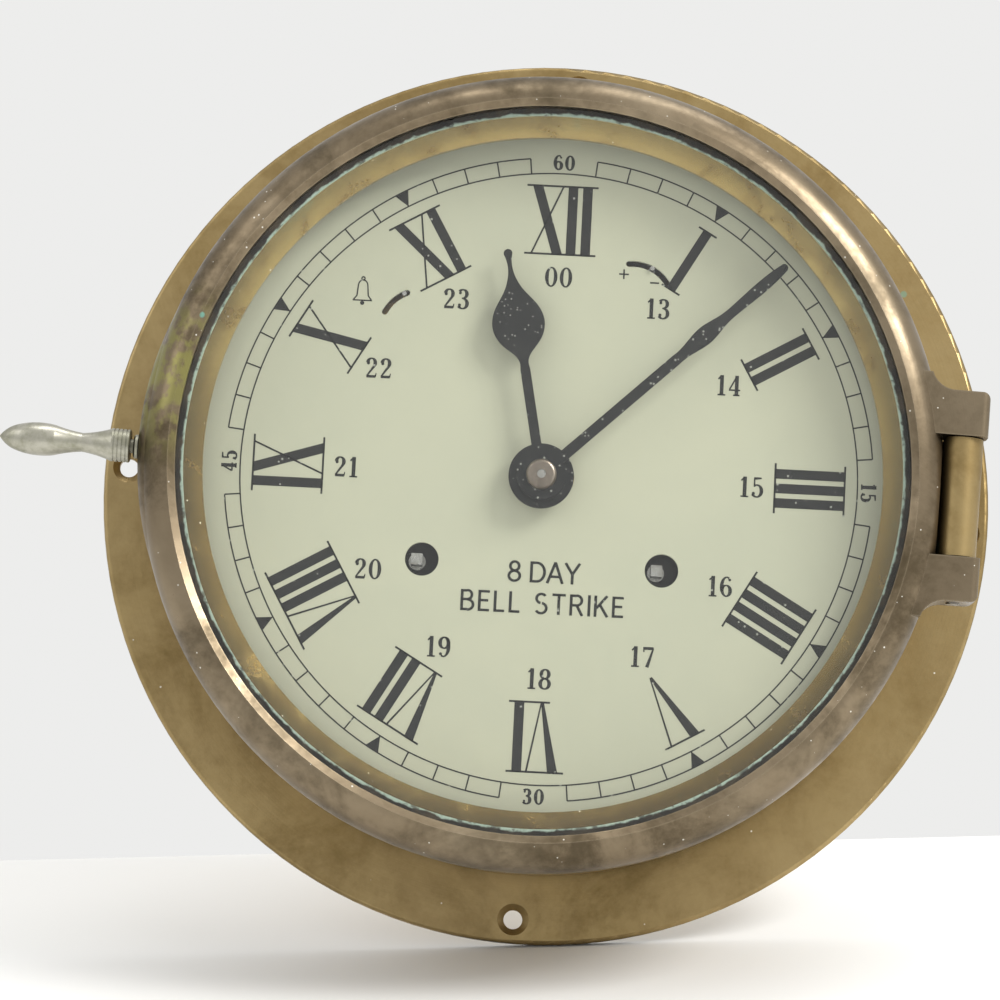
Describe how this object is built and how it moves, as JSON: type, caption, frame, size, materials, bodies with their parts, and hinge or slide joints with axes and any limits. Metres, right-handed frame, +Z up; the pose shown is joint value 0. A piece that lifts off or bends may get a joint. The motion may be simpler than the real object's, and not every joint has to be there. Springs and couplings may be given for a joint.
{
  "type": "ships deck clock",
  "caption": "Round brass bulkhead ship's clock with a flange for wall screws, a hinged glazed bezel held by a side screw, a 24-hour dial, and a two-train striking movement with a bell.",
  "frame": {"origin": "centre of the flange's back face, on the clock's own axis, in the plane of the wall", "axes": "+Y into the wall, so the dial faces -Y; +Z up towards the dial's XII; +X to the right, towards the hinge"},
  "size_m": [0.2845, 0.0759, 0.26],
  "materials": {
    "aged_brass": "aged, brown patina",
    "flange_brass": "worn satin brass",
    "movement_brass": "grained and lacquered",
    "steel": "polished",
    "blued_spring": "blued",
    "nickel": "satin nickel, a little dull",
    "bell_metal": "polished bell metal",
    "dial_enamel": "pale green cream enamel",
    "hand_black": "satin black",
    "glass": "clear plate glass",
    "seal": "grey green putty"
  },
  "bodies": {
    "case": {"mounting_flange": "flange_brass", "case_drum": "flange_brass", "rear_cover": "movement_brass", "rear_cover_screws": "steel", "hinge_pin": "steel", "dial_plate": "dial_enamel", "dial_foot_pins": "steel", "front_plate": "movement_brass", "back_plate": "movement_brass", "plate_pillars": "movement_brass", "pillar_screws": "steel", "mount_screws": "steel", "bell": "bell_metal", "bell_post": "movement_brass", "bell_nut": "steel", "minute_wheel_stud": "steel", "escapement_cock": "movement_brass", "cock_posts": "movement_brass", "cock_screws": "steel", "click_screws": "steel"},
    "bezel": {"bezel_ring": "aged_brass", "bezel_glass": "glass", "glass_gasket": "seal", "sight_ring": "aged_brass"},
    "clamp_washer": {"clamp_washer": "nickel"},
    "clamp_screw": {"clamp_screw": "nickel"},
    "centre": {"centre_arbor": "steel", "centre_wheel": "movement_brass"},
    "minute": {"cannon_pinion": "movement_brass", "minute_hand": "hand_black", "hand_nut": "movement_brass"},
    "minute_wheel": {"minute_wheel": "movement_brass"},
    "hour": {"hour_wheel": "movement_brass", "hour_hand": "hand_black"},
    "second_wheel": {"second_wheel": "movement_brass"},
    "going_barrel": {"going_barrel": "movement_brass", "going_barrel_cover": "movement_brass", "going_mainspring": "blued_spring"},
    "third_wheel": {"third_wheel": "movement_brass"},
    "fourth_wheel": {"fourth_wheel": "movement_brass"},
    "escape_wheel": {"escape_wheel": "movement_brass"},
    "pallet_lever": {"pallet_lever": "steel"},
    "balance": {"balance_wheel": "movement_brass", "hairspring": "blued_spring"},
    "regulator": {"regulator_lever": "steel"},
    "silent_lever": {"silent_lever": "steel"},
    "going_winding": {"going_winding_arbor": "steel", "going_ratchet_wheel": "steel"},
    "going_click": {"going_click": "steel"},
    "strike_winding": {"strike_winding_arbor": "steel", "strike_ratchet_wheel": "steel"},
    "strike_click": {"strike_click": "steel"},
    "strike_barrel": {"strike_barrel": "movement_brass", "strike_barrel_cover": "movement_brass", "strike_mainspring": "blued_spring", "count_wheel": "movement_brass"},
    "pin_wheel": {"pin_wheel": "movement_brass"},
    "warning_wheel": {"warning_wheel": "movement_brass"},
    "fly": {"fly": "movement_brass"},
    "hammer": {"hammer": "steel"}
  },
  "joints": [
    {"name": "bezel_hinge", "type": "hinge", "parent": "case", "child": "bezel", "pos_m": [0.115, -0.0666, 0], "axis": [0, 0, 1], "range_deg": [0, 115]},
    {"name": "clamp_travel", "type": "slide", "parent": "bezel", "child": "clamp_washer", "axis": [-1, 0, 0], "range_m": [0, 0.00375]},
    {"name": "clamp_turn", "type": "hinge", "parent": "clamp_washer", "child": "clamp_screw", "pos_m": [-0.12, -0.0644, -0.002], "axis": [1, 0, 0], "range_deg": [0, 1081]},
    {"name": "minute_hand_turn", "type": "hinge", "parent": "case", "child": "minute", "pos_m": [-0.00218, 0, -0.00067], "axis": [0, 1, 0], "continuous": true},
    {"name": "minute_wheel_turn", "type": "hinge", "parent": "case", "child": "minute_wheel", "pos_m": [-0.01041, 0, -0.0094], "axis": [0, 1, 0], "continuous": true},
    {"name": "hour_hand_turn", "type": "hinge", "parent": "case", "child": "hour", "pos_m": [-0.00218, 0, -0.00067], "axis": [0, 1, 0], "continuous": true},
    {"name": "centre_arbor_turn", "type": "hinge", "parent": "case", "child": "centre", "pos_m": [-0.00218, 0, -0.00067], "axis": [0, 1, 0], "continuous": true},
    {"name": "second_wheel_turn", "type": "hinge", "parent": "case", "child": "second_wheel", "pos_m": [0.00761, 0, -0.01924], "axis": [0, 1, 0], "continuous": true},
    {"name": "going_barrel_turn", "type": "hinge", "parent": "case", "child": "going_barrel", "pos_m": [0.03233, 0, -0.02415], "axis": [0, 1, 0], "continuous": true},
    {"name": "third_wheel_turn", "type": "hinge", "parent": "case", "child": "third_wheel", "pos_m": [0.00622, 0, 0.01923], "axis": [0, 1, 0], "continuous": true},
    {"name": "fourth_wheel_turn", "type": "hinge", "parent": "case", "child": "fourth_wheel", "pos_m": [0.02144, 0, 0.02856], "axis": [0, 1, 0], "continuous": true},
    {"name": "escape_wheel_turn", "type": "hinge", "parent": "case", "child": "escape_wheel", "pos_m": [0.03324, 0, 0.03983], "axis": [0, 1, 0], "continuous": true},
    {"name": "pallet_lever_rock", "type": "hinge", "parent": "case", "child": "pallet_lever", "pos_m": [0.02693, 0, 0.04507], "axis": [0, 1, 0], "range_deg": [-4, 4]},
    {"name": "balance_swing", "type": "hinge", "parent": "case", "child": "balance", "pos_m": [0.01964, 0, 0.0511], "axis": [0, 1, 0], "range_deg": [-200, 200]},
    {"name": "regulator_swing", "type": "hinge", "parent": "case", "child": "regulator", "pos_m": [0.01964, 0, 0.0511], "axis": [0, 1, 0], "range_deg": [-32, 26]},
    {"name": "silent_lever_swing", "type": "hinge", "parent": "case", "child": "silent_lever", "pos_m": [-0.03931, 0, 0.03865], "axis": [0, 1, 0], "range_deg": [-36.8, 3]},
    {"name": "going_winding_turn", "type": "hinge", "parent": "case", "child": "going_winding", "pos_m": [0.03233, 0, -0.02415], "axis": [0, 1, 0], "continuous": true},
    {"name": "going_click_lift", "type": "hinge", "parent": "case", "child": "going_click", "pos_m": [0.02166, 0, -0.01572], "axis": [0, 1, 0], "range_deg": [-8, 0]},
    {"name": "strike_winding_turn", "type": "hinge", "parent": "case", "child": "strike_winding", "pos_m": [-0.03524, 0, -0.02616], "axis": [0, 1, 0], "continuous": true},
    {"name": "strike_click_lift", "type": "hinge", "parent": "case", "child": "strike_click", "pos_m": [-0.02508, 0, -0.01711], "axis": [0, 1, 0], "range_deg": [0, 8]},
    {"name": "pin_wheel_turn", "type": "hinge", "parent": "case", "child": "pin_wheel", "pos_m": [-0.04018, 0, -0.00145], "axis": [0, 1, 0], "continuous": true},
    {"name": "strike_barrel_turn", "type": "hinge", "parent": "case", "child": "strike_barrel", "pos_m": [-0.03524, 0, -0.02616], "axis": [0, 1, 0], "continuous": true},
    {"name": "warning_wheel_turn", "type": "hinge", "parent": "case", "child": "warning_wheel", "pos_m": [-0.03219, 0, 0.01568], "axis": [0, 1, 0], "continuous": true},
    {"name": "fly_turn", "type": "hinge", "parent": "case", "child": "fly", "pos_m": [-0.01743, 0, 0.0237], "axis": [0, 1, 0], "continuous": true},
    {"name": "hammer_swing", "type": "hinge", "parent": "case", "child": "hammer", "pos_m": [-0.05642, 0, 0.0057], "axis": [0, 1, 0], "range_deg": [-1.2, 12]}
  ],
  "couplings": [
    {"joint": "clamp_turn", "follows": "clamp_travel", "rad_per_m": 5026.5},
    {"joint": "minute_wheel_turn", "follows": "minute_hand_turn", "ratio": -0.33333},
    {"joint": "hour_hand_turn", "follows": "minute_hand_turn", "ratio": 0.083333},
    {"joint": "third_wheel_turn", "follows": "fourth_wheel_turn", "ratio": -0.13333},
    {"joint": "centre_arbor_turn", "follows": "fourth_wheel_turn", "ratio": 0.016667},
    {"joint": "second_wheel_turn", "follows": "fourth_wheel_turn", "ratio": -0.0027778},
    {"joint": "going_barrel_turn", "follows": "fourth_wheel_turn", "ratio": 0.00046296},
    {"joint": "warning_wheel_turn", "follows": "fly_turn", "ratio": -0.16667},
    {"joint": "pin_wheel_turn", "follows": "fly_turn", "ratio": 0.027778},
    {"joint": "strike_barrel_turn", "follows": "fly_turn", "ratio": -0.0046296}
  ]
}
